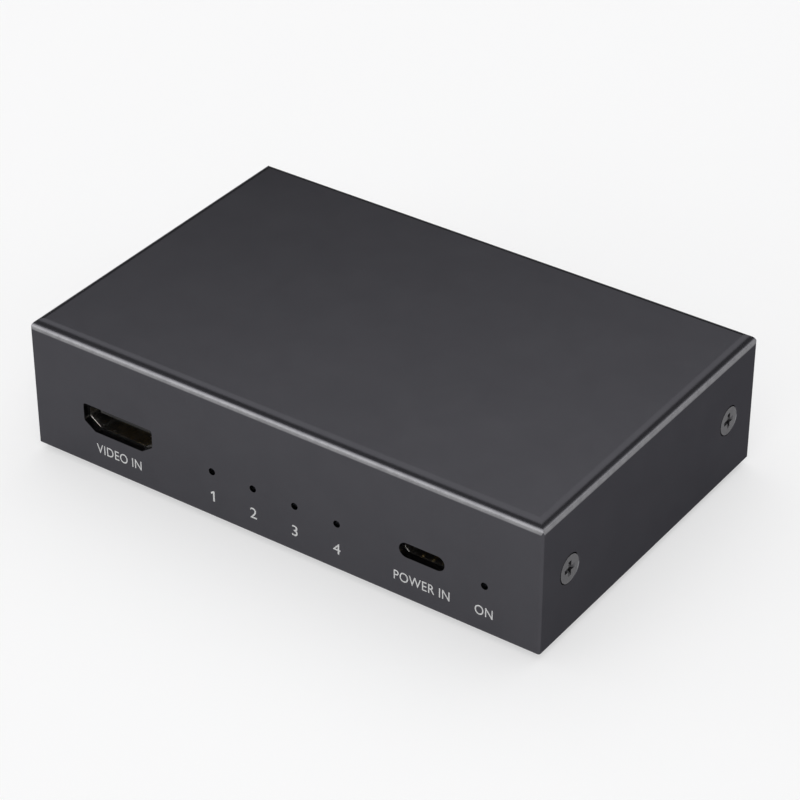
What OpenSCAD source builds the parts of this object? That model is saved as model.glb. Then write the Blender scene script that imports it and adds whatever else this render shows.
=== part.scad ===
// Video splitter in a small folded metal case: one input at the front, four outputs at the rear.
// Millimetres. The front faces -Y, +Z is up, and the origin lies on the ground under the middle.

/* [Case] */
// Width of the case, left to right
case_w = 100; // [94:1:140]
// Depth of the case, front to rear
case_d = 64.6; // [62:0.2:100]
// Height of the case, without its feet
case_h = 24.2; // [21:0.2:36]
// Thickness of the folded sheet
sheet_t = 1.2; // [0.8:0.1:1.5]
// Inside radius of every fold
fold_r = 0.6; // [0.2:0.1:1.2]
// Radius of the cover's ground corner seams
seam_r = 0.4; // [0.2:0.1:0.8]
// Clearance between the cover and the base plate inside it
cover_gap = 0.2; // [0.1:0.05:0.4]

/* [Base plate] */
// Height of the folded lips along the sides
lip_h = 5; // [3:0.5:7]
// Half width and end radius of the ears that hold the nuts
ear_r = 6; // [4.5:0.5:7]

/* [Feet] */
// Diameter of a rubber foot
foot_d = 8; // [6:0.5:12]
// Height of a foot, which is the gap under the case
foot_h = 1.5; // [1:0.1:3]
// Radius of a foot's lower edge
foot_round = 0.5; // [0.2:0.1:0.9]
// Distance of a foot's middle from the two nearest faces of the case
foot_inset = 9; // [7:0.5:14]

/* [Cover screws and nuts] */
// Thread diameter of a cover screw
screw_d = 3; // [2.5:0.1:3.4]
// Overall length of a cover screw
screw_l = 6; // [5:0.5:8]
// Diameter of the countersunk head
screw_head_d = 5; // [4.6:0.1:6]
// Height of the head's straight rim
screw_rim = 0.15; // [0.1:0.05:0.3]
// Distance of a cover screw from the front or rear face
screw_inset = 8; // [7:0.5:12]
// Height of a cover screw above the case's lower edge
screw_rise = 11.5; // [9:0.1:14]
// Clearance between a countersunk head and its seat
seat_gap = 0.1; // [0.02:0.01:0.1]
// Clearance between a thread and the nut around it
thread_gap = 0.05; // [0.02:0.01:0.1]
// Clearance of a thread in the plain holes of the cover and the board
hole_gap = 0.1; // [0.05:0.05:0.3]
// Height of the cone at a screw's tip
screw_tip = 0.5; // [0.3:0.1:0.8]
// Diameter of a clinch nut's body
nut_d = 6.3; // [5.5:0.1:8]
// Height of a clinch nut's body
nut_h = 2; // [1:0.1:2.4]
// Diameter of the nut's shank, which is pressed into an ear
nut_shank_d = 4.2; // [4:0.1:5]
// How far the nut's shank stops short of the ear's outer face
nut_setback = 0.5; // [0.4:0.05:0.6]
// Clearance around a pressed shank
press_gap = 0.05; // [0.02:0.01:0.1]

/* [Board and standoffs] */
// Thickness of the circuit board
board_t = 1.6; // [1:0.1:2]
// Gap between the board and the front and rear walls
board_wall_gap = 1.2; // [0.8:0.1:2]
// Gap between the board and the lips at its sides
board_side_gap = 0.8; // [0.4:0.1:2]
// Corner radius of the board
board_corner_r = 1.5; // [0.5:0.1:3]
// Width across the flats of a hexagon standoff
standoff_af = 5.5; // [5:0.1:6.5]
// Height of a standoff, which is the gap under the board
standoff_h = 3.9; // [3:0.1:6]
// Diameter of the standoff's shank, which is pressed into the base plate
standoff_shank_d = 4.2; // [3.8:0.1:5]
// Distance of a standoff from the board's side edges
standoff_inset = 4.6; // [4:0.1:6]
// Distance of a standoff from the middle, towards the front or rear
standoff_y = 14; // [10:0.5:15]
// Thread diameter of a board screw
board_screw_d = 3; // [2:0.1:3.2]
// Length of a board screw under its head
board_screw_l = 5; // [4:0.5:6]
// Diameter of a board screw's pan head
board_screw_head_d = 5.5; // [4.5:0.1:6]
// Height of a board screw's pan head
board_screw_head_h = 2; // [1.5:0.1:2.5]
// Radius of the crown of a board screw's head
board_screw_crown_r = 4.4; // [3.6:0.1:8]

/* [Cross recess] */
// Span of a screw's cross recess
cross_span = 2.9; // [2.2:0.1:3.4]
// Width of a wing of the cross
cross_wing = 0.85; // [0.6:0.05:1]
// Depth of the cross recess
cross_depth = 1.2; // [0.8:0.1:1.5]

/* [Video sockets] */
// Inside width of a socket's mouth
socket_w = 14; // [13:0.1:15]
// Inside height of a socket's mouth
socket_h = 4.55; // [4:0.05:5]
// Width of the slanted lower corners
socket_cut_w = 2.1; // [1.5:0.1:2.6]
// Height of the slanted lower corners
socket_cut_h = 1.5; // [1:0.1:2]
// Inside radius of the shell's bent corners
socket_corner_r = 0.3; // [0.2:0.05:0.5]
// Thickness of a socket's metal shell
socket_shell_t = 0.35; // [0.25:0.05:0.5]
// Length of a socket's metal shell
socket_depth = 10.5; // [9.5:0.1:12]
// Gap between a wall of the cover and the socket mouths behind it
socket_gap = 0.2; // [0.2:0.1:0.8]
// How much larger the cover's cut-out is than the socket's mouth, all round
port_margin = 0.2; // [0.05:0.05:0.5]
// Distance of the video input from the left side of the case
input_inset = 17.7; // [15:0.1:24]
// Number of video outputs
output_count = 4; // [4]
// Spacing of the video outputs
output_pitch = 22; // [18:0.1:23]
// Width of a solder leg of the shell
leg_w = 1; // [0.8:0.1:1.4]
// Distance of the front legs from the mouth
leg_front = 2.6; // [2.2:0.1:3.2]
// Distance of the rear legs from the mouth
leg_rear = 8; // [7:0.1:8.8]
// How far a leg reaches below the board
leg_below = 0.6; // [0.3:0.1:1]
// Clearance of a leg in its slot in the board
leg_gap = 0.15; // [0.1:0.05:0.2]
// Width of a spring finger in the shell's top
finger_w = 1.8; // [1.2:0.1:2.4]
// Length of a spring finger
finger_l = 4.5; // [3:0.1:5.5]
// Width of the slot around a spring finger
finger_slot = 0.3; // [0.2:0.05:0.5]
// Distance of a finger's root from the mouth
finger_root = 2; // [1.5:0.1:3]
// Spacing of the two spring fingers
finger_pitch = 6.4; // [5:0.1:8]

/* [Video socket insides] */
// Width of the tongue
tongue_w = 11.6; // [10.5:0.1:12]
// Thickness of the tongue
tongue_t = 1.25; // [1:0.05:1.5]
// Distance of the tongue's tip behind the mouth
tongue_setback = 1.2; // [0.8:0.1:2]
// Bevel round the tip of a tongue
tongue_bevel = 0.25; // [0.1:0.05:0.3]
// Distance of the insulator's block behind the mouth
block_start = 4.5; // [4:0.1:6]
// How far the block stands out at the back of the shell
block_tail = 0.4; // [0.2:0.1:0.8]
// Clearance of the block in the shell
block_gap = 0.05; // [0.02:0.01:0.1]
// Contacts on top of the tongue, with one fewer below
contact_count = 10; // [8:1:10]
// Spacing of the contacts in one row
contact_pitch = 1; // [0.9:0.05:1.1]
// Width of a contact
contact_w = 0.3; // [0.2:0.02:0.36]
// Thickness of a contact
contact_t = 0.15; // [0.1:0.01:0.2]
// Distance of a contact's tip behind the tongue's tip
contact_setback = 0.4; // [0.2:0.1:1]
// Length of a contact's solder foot
contact_foot = 1; // [0.6:0.1:1.4]
// Clearance of a contact in the insulator
contact_gap = 0.02; // [0.01:0.01:0.05]

/* [Power inlet] */
// Inside width of the inlet's mouth
inlet_w = 8.34; // [8:0.02:9]
// Inside height of the inlet's mouth
inlet_h = 2.56; // [2.4:0.02:3]
// Thickness of the inlet's metal shell
inlet_shell_t = 0.3; // [0.2:0.05:0.4]
// Length of the inlet's metal shell
inlet_depth = 7.2; // [6.5:0.1:9]
// How much larger the cover's slot is than the inlet's mouth, all round
inlet_margin = 0.1; // [0.05:0.05:0.4]
// Distance of the inlet from the right side of the case
inlet_inset = 21.8; // [18:0.05:26]
// Height of the seat that lifts the inlet off the board
inlet_seat_h = 1; // [0.6:0.1:1.6]
// Width of the inlet's tongue
inlet_tongue_w = 6.7; // [6.2:0.1:7]
// Thickness of the inlet's tongue
inlet_tongue_t = 0.7; // [0.6:0.05:0.9]
// Distance of the tongue's tip behind the mouth
inlet_tongue_setback = 0.8; // [0.5:0.1:1.2]
// Length of the block at the back of the inlet
inlet_block_l = 2; // [1.5:0.1:3]
// Contacts on each side of the inlet's tongue
inlet_contact_count = 3; // [2:1:3]
// Spacing of the inlet's contacts
inlet_contact_pitch = 2; // [1.6:0.1:2.4]
// Width of an inlet contact
inlet_contact_w = 0.5; // [0.3:0.05:0.7]
// Distance of the inlet's front legs from its mouth
inlet_leg_front = 2.2; // [2:0.1:2.8]
// Distance of the inlet's rear legs from its mouth
inlet_leg_rear = 5.8; // [5:0.1:6]

/* [Lights] */
// Diameter of a light hole in the cover
light_hole_d = 1.3; // [0.8:0.1:1.6]
// Number of output lights
light_count = 4; // [4]
// Spacing of the output lights
light_pitch = 8.26; // [5:0.01:10]
// Sideways place of the middle of the row of output lights
light_row_x = -0.4; // [-3:0.1:1]
// Distance of the power light from the right side of the case
power_light_inset = 10.2; // [9:0.1:13]
// Diameter of a light's lens
led_d = 1.8; // [1.7:0.1:2.4]
// Height of a light's axis above the board
led_rise = 2; // [1.6:0.1:3]
// Gap between a lens and the front wall
led_wall_gap = 0.3; // [0.1:0.1:0.6]
// Distance from a lens's tip to the front of its holder
led_reach = 1.1; // [1:0.1:1.4]
// Width of a light's holder
holder_w = 3; // [2.8:0.1:3.6]
// Length of a light's holder
holder_l = 2.4; // [2:0.1:4]
// Height of the holder above the light's axis
holder_rise = 1.5; // [1.4:0.1:2]
// Clearance of a light in its holder
holder_gap = 0.05; // [0.02:0.01:0.1]
// Diameter of the flange at the back of a light
led_flange_d = 2.4; // [2.2:0.1:3]
// Thickness of the flange
led_flange_t = 0.4; // [0.3:0.1:0.6]
// Side of a light's square leads
lead_t = 0.4; // [0.3:0.05:0.45]
// Spacing of a light's two leads
lead_pitch = 1.27; // [1.1:0.01:1.6]
// Length of a lead behind the flange, up to its outer bend
lead_back = 1; // [0.8:0.1:1.4]
// Clearance of a lead's corners in its hole in the board
lead_gap = 0.1; // [0.05:0.05:0.12]

/* [Circuit] */
// Gap between neighbouring parts on the board
part_gap = 2; // [1.5:0.1:2.4]
// How much a moulded package narrows on each side towards its top
mould_draft = 0.15; // [0.05:0.05:0.3]
// Side of the splitter chip's package
chip_w = 12; // [8:0.5:16]
// Thickness of the splitter chip's package
chip_t = 1.2; // [0.8:0.1:1.6]
// Distance of the splitter chip behind the middle of the board
chip_y = 2; // [0:0.5:2]
// Thickness of the thermal pad on the chip
pad_t = 0.5; // [0.3:0.1:1]
// Side of the heat sink
sink_w = 21; // [18:0.5:21]
// Thickness of the heat sink's floor
sink_floor = 2; // [1.2:0.1:3]
// Height of the heat sink
sink_h = 8; // [5:0.5:9]
// Number of fins
fin_count = 7; // [4:1:9]
// Thickness of a fin
fin_t = 1; // [0.6:0.1:1.2]
// Width of the control chip's body
control_w = 3.9; // [3.5:0.1:5]
// Length of the control chip's body
control_l = 4.9; // [4.9:0.1:5.4]
// Thickness of the control chip's body
control_t = 1.5; // [1:0.1:1.8]
// Leads on each long side of the control chip
control_leads = 4; // [3:1:4]
// Width of the regulator's body
regulator_w = 3.5; // [3:0.1:4]
// Length of the regulator's body
regulator_l = 6.5; // [6:0.1:7]
// Thickness of the regulator's body
regulator_t = 1.6; // [1.2:0.1:1.8]
// Leads on the regulator's front side
regulator_leads = 3; // [2:1:3]
// Width of the tab on the regulator's rear side
regulator_tab_w = 3; // [2:0.1:3.6]
// Width of a lead of the control chip and the regulator
chip_lead_w = 0.4; // [0.3:0.05:0.6]
// Thickness of such a lead
chip_lead_t = 0.2; // [0.1:0.05:0.25]
// How far such a lead reaches from the body
chip_lead_l = 1; // [0.8:0.1:1.3]
// Side of the power inductor
inductor_w = 6; // [4:0.5:7]
// Height of the power inductor
inductor_h = 3; // [2:0.5:5]
// Cut corner of the power inductor
inductor_cut = 1; // [0.5:0.1:1.2]
// Rim outside the ring groove round the inductor's core
inductor_rim = 0.6; // [0.4:0.1:1]
// Width of the ring groove
inductor_groove_w = 0.3; // [0.2:0.1:0.5]
// Depth of the ring groove
inductor_groove_h = 0.5; // [0.2:0.1:1]
// Diameter of a bulk capacitor's can
can_d = 6.3; // [5:0.1:6.6]
// Height of a bulk capacitor
can_h = 5.8; // [5:0.1:8]
// Thickness of a bulk capacitor's plastic foot
can_foot = 0.8; // [0.5:0.1:1.2]
// Cut corner at the front of a capacitor's foot
can_cut = 1.2; // [0.6:0.1:1.6]
// Radius of a can's top edge
can_round = 0.4; // [0.2:0.1:0.8]
// Radius of the groove that is rolled into a can
can_groove_r = 0.3; // [0.2:0.05:0.4]
// Height of the rolled groove above the foot
can_groove_rise = 0.9; // [0.6:0.1:1.5]
// Length of the clock crystal's can
crystal_l = 5; // [3.2:0.1:6]
// Width of the clock crystal's can
crystal_w = 3.2; // [2.5:0.1:3.5]
// Height of the clock crystal's can
crystal_h = 1.1; // [0.8:0.1:1.5]
// Corner radius of the clock crystal's can
crystal_corner_r = 0.5; // [0.2:0.1:1]
// Height of the crystal's base
crystal_base_h = 0.5; // [0.3:0.1:0.7]
// Step between the base and the lid, all round
crystal_step = 0.25; // [0.1:0.05:0.4]
// Length of a protection array's body
array_l = 2.5; // [2:0.1:3]
// Width of a protection array's body
array_w = 1; // [0.8:0.1:1.2]
// Thickness of a protection array's body
array_t = 0.6; // [0.4:0.1:0.8]
// Spacing of the two protection arrays behind a socket
array_pitch = 6; // [4:0.5:8]
// Gap between a socket's solder feet and its protection arrays
array_gap = 1.5; // [1:0.1:1.8]
// Length of a chip capacitor
cap_l = 1.6; // [1:0.1:2]
// Width and height of a chip capacitor
cap_w = 0.8; // [0.5:0.1:1]
// Length of a chip capacitor's plated ends
cap_end = 0.35; // [0.2:0.05:0.45]
// How far the plated ends stand out from the body
cap_plate = 0.05; // [0.02:0.01:0.1]
// Number of chip capacitors on each side of the heat sink
cap_count = 6; // [3:1:7]
// Spacing of the chip capacitors
cap_pitch = 2.6; // [2.2:0.1:3]

/* [Hidden] */
$fn = 48;
// Overshoot of cuts beyond the surface that they open
through = 1;
// Even row of sideways places about x = 0
function row_xs(count, pitch) = [for (i = [0 : count - 1]) (i - (count - 1) / 2) * pitch];
// Direction from one point to another
function towards(from, to) = (to - from) / norm(to - from);

// Levels and faces of the case
case_z = foot_h;
floor_z = case_z + sheet_t;
board_z = floor_z + standoff_h;
board_top = board_z + board_t;
front_y = -case_d / 2;
rear_y = case_d / 2;
inner_front_y = front_y + sheet_t;
inner_rear_y = rear_y - sheet_t;
fold_out_r = fold_r + sheet_t;

// Base plate inside the cover
base_w = case_w - 2 * (sheet_t + cover_gap);
base_d = case_d - 2 * (sheet_t + cover_gap);
ear_in_x = base_w / 2 - sheet_t;
ear_top = screw_rise + ear_r;

// Screw places
screw_y = case_d / 2 - screw_inset;
screw_z = case_z + screw_rise;
screw_seat_r = screw_head_d / 2 + screw_rim + seat_gap;
screw_hole_r = screw_d / 2 + hole_gap;
foot_x = case_w / 2 - foot_inset;
foot_y = case_d / 2 - foot_inset;

// Board outline and standoffs
board_w = base_w - 2 * (sheet_t + board_side_gap);
board_d = case_d - 2 * (sheet_t + board_wall_gap);
standoff_x = board_w / 2 - standoff_inset;

// Video socket places
socket_z = board_top + socket_shell_t + socket_h / 2;
front_mouth_y = inner_front_y + socket_gap;
rear_mouth_y = inner_rear_y - socket_gap;
input_x = -case_w / 2 + input_inset;
output_xs = row_xs(output_count, output_pitch);
socket_foot = -socket_shell_t - socket_h / 2;
socket_leg_x = (socket_w + socket_shell_t) / 2;
block_end = socket_depth + block_tail;
socket_reach = block_end + contact_foot;
// Contacts as [sideways place, height of the strip]: an upper row, and a lower row between them
socket_seats = concat(
    [for (x = row_xs(contact_count, contact_pitch)) [x, tongue_t / 2]],
    [for (x = row_xs(contact_count - 1, contact_pitch)) [x, -tongue_t / 2 - contact_t]]
);

// Power inlet place
inlet_x = case_w / 2 - inlet_inset;
inlet_foot = -inlet_seat_h - inlet_shell_t - inlet_h / 2;
inlet_z = board_top - inlet_foot;
inlet_leg_x = (inlet_w + inlet_shell_t) / 2;
inlet_end = inlet_depth + block_tail;
inlet_reach = inlet_end + contact_foot;
inlet_row = row_xs(inlet_contact_count, inlet_contact_pitch);
inlet_step = inlet_contact_pitch / 4;
inlet_seats = concat(
    [for (x = inlet_row) [x - inlet_step, inlet_tongue_t / 2]],
    [for (x = inlet_row) [x + inlet_step, -inlet_tongue_t / 2 - contact_t]]
);

// Light places
light_xs = [for (x = row_xs(light_count, light_pitch)) light_row_x + x];
power_light_x = case_w / 2 - power_light_inset;
all_light_xs = concat(light_xs, [power_light_x]);
led_z = board_top + led_rise;
led_tip_y = inner_front_y + led_wall_gap;
lead_hole_d = lead_t * sqrt(2) + 2 * lead_gap;
holder_back = led_reach + holder_l;
lead_y = holder_back + led_flange_t + lead_back;

// Circuit places: power parts in rows behind the inlet, the control chip behind the input
can_pitch = can_d + part_gap;
can_y = front_mouth_y + inlet_reach + part_gap + can_d / 2;
power_row_y = can_y + can_d / 2 + part_gap + inductor_w / 2;
regulator_x = inlet_x - (regulator_l + part_gap) / 2;
inductor_x = inlet_x + (inductor_w + part_gap) / 2;
array_y = socket_reach + array_gap;
control_y = front_mouth_y + array_y + array_w + part_gap + control_w / 2 + chip_lead_l;
cap_x = (sink_w + part_gap) / 2;
pad_w = chip_w - 2 * mould_draft;
crystal_x = -cap_x - (cap_l + crystal_l) / 2 - part_gap;

output_numbers = [1 : output_count];
socket_pieces = ["shell", "insulator", "contacts"];

// Colours as the photograph shows them, or as such pieces usually are inside
case_grey = [0.17, 0.17, 0.18];
steel = [0.62, 0.62, 0.64];
screw_grey = [0.4, 0.4, 0.42];
rubber_black = [0.06, 0.06, 0.06];
board_green = [0.05, 0.28, 0.16];
insulator_black = [0.09, 0.09, 0.1];
contact_gold = [0.8, 0.62, 0.28];
lens_clear = [0.86, 0.9, 0.92];
package_black = [0.12, 0.12, 0.13];
pad_grey = [0.55, 0.57, 0.62];
aluminium = [0.75, 0.76, 0.78];
ceramic_tan = [0.66, 0.52, 0.36];

// Outlines and extrusions that several pieces share

// Extrudes an X-Z outline from y = 0 towards the rear
module along_y(length) {
    rotate([90, 0, 0])
        translate([0, 0, -length])
            linear_extrude(length)
                children();
}

// Extrudes a Y-Z outline to both sides of x = 0
module across_x(length) {
    rotate([90, 0, 90])
        linear_extrude(length, center = true)
            children();
}

// Rectangle standing on the X axis, with rounded top corners
module fold_outline(w, h, r) {
    translate([-w / 2, 0])
        square([w, h - r]);
    translate([-w / 2 + r, 0])
        square([w - 2 * r, h]);
    for (side = [-1, 1])
        translate([side * (w / 2 - r), h - r])
            circle(r);
}

// Rectangle about the origin, with all corners rounded
module plate_outline(w, d, r) {
    square([w - 2 * r, d], center = true);
    square([w, d - 2 * r], center = true);
    for (x = [-1, 1], y = [-1, 1])
        translate([x * (w / 2 - r), y * (d / 2 - r)])
            circle(r);
}

// Polygon whose corners are all rounded to one radius
module rounded_polygon(points, r) {
    last = len(points) - 1;
    rounds = [
        for (i = [0 : last])
            let (
                corner = points[i],
                back = towards(corner, points[i > 0 ? i - 1 : last]),
                ahead = towards(corner, points[i < last ? i + 1 : 0]),
                half_angle = acos(back * ahead) / 2,
                tangent = r / tan(half_angle)
            )
            [corner + back * tangent, corner + ahead * tangent,
                corner + towards([0, 0], back + ahead) * r / sin(half_angle)]
    ];
    polygon([for (bend = rounds) each [bend[0], bend[1]]]);
    for (bend = rounds)
        translate(bend[2])
            circle(r);
}

// Square about the origin with some corners cut off, each given by its turn from the rear right one
module cut_square(w, cut, turns) {
    difference() {
        square(w, center = true);
        for (turn = turns)
            rotate(turn)
                translate([w / 2, w / 2])
                    rotate(45)
                        square(cut * sqrt(2), center = true);
    }
}

// Slot outline with round ends, lying along X
module slot_outline(length, width) {
    square([length - width, width], center = true);
    for (side = [-1, 1])
        translate([side * (length - width) / 2, 0])
            circle(width / 2);
}

// Block whose top edges are long folds that meet in mitres, with upright corner seams
module folded_block(w, d, h, r, corner) {
    intersection() {
        translate([0, -d / 2, 0])
            along_y(d)
                fold_outline(w, h, r);
        across_x(w)
            fold_outline(d, h, r);
        linear_extrude(h)
            plate_outline(w, d, corner);
    }
}

// Mouth of a video socket: a flat opening with slanted lower corners, grown evenly by a margin
function socket_points(grow) =
    let (
        half_w = socket_w / 2 + grow,
        half_h = socket_h / 2 + grow,
        slant = norm([socket_cut_w, socket_cut_h]),
        side_z = socket_cut_h - socket_h / 2 - grow * (slant - socket_cut_h) / socket_cut_w,
        floor_x = socket_w / 2 - socket_cut_w + grow * (slant - socket_cut_w) / socket_cut_h
    )
    [
        [-half_w, half_h],
        [-half_w, side_z],
        [-floor_x, -half_h],
        [floor_x, -half_h],
        [half_w, side_z],
        [half_w, half_h]
    ];

module socket_outline(grow) {
    rounded_polygon(socket_points(grow), socket_corner_r + grow);
}

module inlet_outline(grow) {
    slot_outline(inlet_w + 2 * grow, inlet_h + 2 * grow);
}

// Cross recess that narrows downwards from the plane z = 0
module cross_recess() {
    top_r = cross_span / 2;
    tip_r = cross_wing / 2;
    slope = (top_r - tip_r) / cross_depth;
    translate([0, 0, -cross_depth])
        intersection() {
            cylinder(h = cross_depth + through, r1 = tip_r, r2 = top_r + slope * through);
            linear_extrude(cross_depth + through) {
                square([cross_span, cross_wing], center = true);
                square([cross_wing, cross_span], center = true);
            }
        }
}

// Countersunk screw with the top of its head at z = 0, pointing down
module flat_screw() {
    head_r = screw_head_d / 2;
    shank_r = screw_d / 2 - thread_gap;
    cone_end = screw_rim + head_r - shank_r;
    difference() {
        rotate_extrude()
            polygon([
                [0, 0],
                [head_r, 0],
                [head_r, -screw_rim],
                [shank_r, -cone_end],
                [shank_r, screw_tip - screw_l],
                [shank_r - screw_tip, -screw_l],
                [0, -screw_l]
            ]);
        cross_recess();
    }
}

// Pan-head screw with the underside of its head at z = 0, pointing down
module pan_screw() {
    head_r = board_screw_head_d / 2;
    shank_r = board_screw_d / 2 - thread_gap;
    difference() {
        union() {
            rotate_extrude()
                intersection() {
                    square([head_r, board_screw_head_h]);
                    translate([0, board_screw_head_h - board_screw_crown_r])
                        circle(board_screw_crown_r);
                }
            translate([0, 0, -board_screw_l])
                cylinder(h = board_screw_l + board_screw_head_h / 2, r = shank_r);
        }
        translate([0, 0, board_screw_head_h])
            cross_recess();
    }
}

// Places that repeat

module at_cover_screws() {
    for (side = [-1, 1], end = [-1, 1])
        translate([side * case_w / 2, end * screw_y, screw_z])
            rotate([0, side * 90, 0])
                children();
}

module at_standoffs() {
    for (side = [-1, 1], end = [-1, 1])
        translate([side * standoff_x, end * standoff_y, 0])
            children();
}

module at_feet() {
    for (side = [-1, 1], end = [-1, 1])
        translate([side * foot_x, end * foot_y, 0])
            children();
}

module at_input() {
    translate([input_x, front_mouth_y, socket_z])
        children();
}

module at_output(i) {
    translate([output_xs[i - 1], rear_mouth_y, socket_z])
        rotate([0, 0, 180])
            children();
}

module at_all_sockets() {
    at_input()
        children();
    for (i = output_numbers)
        at_output(i)
            children();
}

module at_inlet() {
    translate([inlet_x, front_mouth_y, inlet_z])
        children();
}

module at_light(x) {
    translate([x, led_tip_y, led_z])
        children();
}

// Case

module port_cuts() {
    cut_l = sheet_t + 2 * through;
    translate([input_x, front_y - through, socket_z])
        along_y(cut_l)
            socket_outline(port_margin);
    for (x = output_xs)
        translate([x, inner_rear_y - through, socket_z])
            along_y(cut_l)
                socket_outline(port_margin);
    translate([inlet_x, front_y - through, inlet_z])
        along_y(cut_l)
            inlet_outline(inlet_margin);
    for (x = all_light_xs)
        translate([x, front_y - through, led_z])
            along_y(cut_l)
                circle(light_hole_d / 2);
}

module cover_screw_holes() {
    at_cover_screws() {
        translate([0, 0, -sheet_t - through])
            cylinder(h = sheet_t + 2 * through, r = screw_hole_r);
        translate([0, 0, -screw_seat_r])
            cylinder(h = screw_seat_r + through, r1 = 0, r2 = screw_seat_r + through);
    }
}

module top_cover() {
    color(case_grey)
        difference() {
            translate([0, 0, case_z])
                folded_block(case_w, case_d, case_h, fold_out_r, seam_r);
            translate([0, 0, case_z - through])
                folded_block(case_w - 2 * sheet_t, case_d - 2 * sheet_t, case_h - sheet_t + through,
                    fold_r, seam_r / 2);
            port_cuts();
            cover_screw_holes();
        }
}

// Sheet folded into a trough: flat floor and a wall at each side
module base_trough() {
    translate([0, -base_d / 2, case_z + ear_top])
        mirror([0, 0, 1])
            difference() {
                along_y(base_d)
                    fold_outline(base_w, ear_top, fold_out_r);
                translate([0, -through, -through])
                    along_y(base_d + 2 * through)
                        fold_outline(base_w - 2 * sheet_t, ear_top - sheet_t + through, fold_r);
            }
}

// What is left of the trough's walls: low lips and four ears with round tops
module ear_outline() {
    translate([-base_d / 2, 0])
        square([base_d, lip_h]);
    for (end = [-1, 1])
        translate([end * screw_y, 0]) {
            translate([-ear_r, 0])
                square([2 * ear_r, screw_rise]);
            translate([0, screw_rise])
                circle(ear_r);
        }
}

module base_plate() {
    color(case_grey)
        difference() {
            intersection() {
                base_trough();
                translate([0, 0, case_z])
                    across_x(case_w)
                        ear_outline();
            }
            at_standoffs()
                translate([0, 0, case_z - through])
                    cylinder(h = sheet_t + 2 * through, r = standoff_shank_d / 2 + press_gap);
            at_cover_screws()
                translate([0, 0, -case_w / 2 + ear_in_x - through])
                    cylinder(h = sheet_t + 2 * through, r = nut_shank_d / 2 + press_gap);
        }
}

module clinch_nuts() {
    shank_l = sheet_t - nut_setback;
    color(steel)
        at_cover_screws()
            translate([0, 0, ear_in_x - case_w / 2])
                difference() {
                    union() {
                        translate([0, 0, -nut_h])
                            cylinder(h = nut_h, r = nut_d / 2);
                        cylinder(h = shank_l, r = nut_shank_d / 2);
                    }
                    translate([0, 0, -nut_h - through])
                        cylinder(h = nut_h + shank_l + 2 * through, r = screw_d / 2);
                }
}

module cover_screws() {
    color(screw_grey)
        at_cover_screws()
            flat_screw();
}

module feet() {
    foot_r = foot_d / 2;
    color(rubber_black)
        at_feet()
            rotate_extrude() {
                square([foot_r - foot_round, foot_h]);
                translate([0, foot_round])
                    square([foot_r, foot_h - foot_round]);
                translate([foot_r - foot_round, foot_round])
                    circle(foot_round);
            }
}

// Board and its fixings

module standoffs() {
    color(steel)
        at_standoffs()
            difference() {
                union() {
                    translate([0, 0, floor_z])
                        cylinder(h = standoff_h, d = standoff_af / cos(30), $fn = 6);
                    translate([0, 0, case_z])
                        cylinder(h = sheet_t + standoff_h / 2, r = standoff_shank_d / 2);
                }
                translate([0, 0, case_z - through])
                    cylinder(h = sheet_t + standoff_h + 2 * through, r = board_screw_d / 2);
            }
}

// Slots for the legs of one socket, in the socket's own frame
module leg_slots(leg_x, leg_ys, thickness, drop) {
    for (side = [-1, 1], y = leg_ys)
        translate([side * leg_x, y, drop - board_t - through])
            rotate([0, 0, 90])
                linear_extrude(board_t + 2 * through)
                    slot_outline(leg_w + thickness + 2 * leg_gap, thickness + 2 * leg_gap);
}

module main_board() {
    color(board_green)
        difference() {
            translate([0, 0, board_z])
                linear_extrude(board_t)
                    plate_outline(board_w, board_d, board_corner_r);
            at_standoffs()
                translate([0, 0, board_z - through])
                    cylinder(h = board_t + 2 * through, r = board_screw_d / 2 + hole_gap);
            at_all_sockets()
                leg_slots(socket_leg_x, [leg_front, leg_rear], socket_shell_t, socket_foot);
            at_inlet()
                leg_slots(inlet_leg_x, [inlet_leg_front, inlet_leg_rear], inlet_shell_t, inlet_foot);
            for (x = all_light_xs)
                at_light(x)
                    for (side = [-1, 1])
                        translate([side * lead_pitch / 2, lead_y - lead_t / 2, -led_rise - board_t - through])
                            cylinder(h = board_t + 2 * through, r = lead_hole_d / 2);
        }
}

module board_screws() {
    color(steel)
        at_standoffs()
            translate([0, 0, board_top])
                pan_screw();
}

// Video sockets, each with its mouth at y = 0 facing -Y and its middle at the origin

// Legs of a shell, from a level on its sides down through the board
module shell_legs(leg_x, leg_ys, thickness, top_z, drop) {
    height = top_z - drop + board_t + leg_below;
    for (side = [-1, 1], y = leg_ys)
        translate([side * leg_x, y, top_z - height / 2])
            cube([thickness, leg_w, height], center = true);
}

// Slot around a spring finger, which stays joined to the shell at its front end
module finger_cut() {
    outer_w = finger_w + 2 * finger_slot;
    linear_extrude(socket_shell_t + 2 * through)
        difference() {
            translate([-outer_w / 2, finger_root])
                square([outer_w, finger_l + finger_slot]);
            translate([-finger_w / 2, finger_root - through])
                square([finger_w, finger_l + through]);
        }
}

module socket_shell() {
    color(steel)
        difference() {
            union() {
                along_y(socket_depth)
                    socket_outline(socket_shell_t);
                shell_legs(socket_leg_x, [leg_front, leg_rear], socket_shell_t, 0, socket_foot);
            }
            translate([0, -through, 0])
                along_y(socket_depth + 2 * through)
                    socket_outline(0);
            for (side = [-1, 1])
                translate([side * finger_pitch / 2, 0, socket_h / 2 - through])
                    finger_cut();
        }
}

// Side view of one contact: strip along the tongue, drop behind the block, foot on the board
module contact_outline(strip_z, start_y, drop_y, foot_z) {
    translate([start_y, strip_z])
        square([drop_y + contact_t - start_y, contact_t]);
    translate([drop_y, foot_z])
        square([contact_t, strip_z + contact_t - foot_z]);
    translate([drop_y, foot_z])
        square([contact_foot, contact_t]);
}

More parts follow.
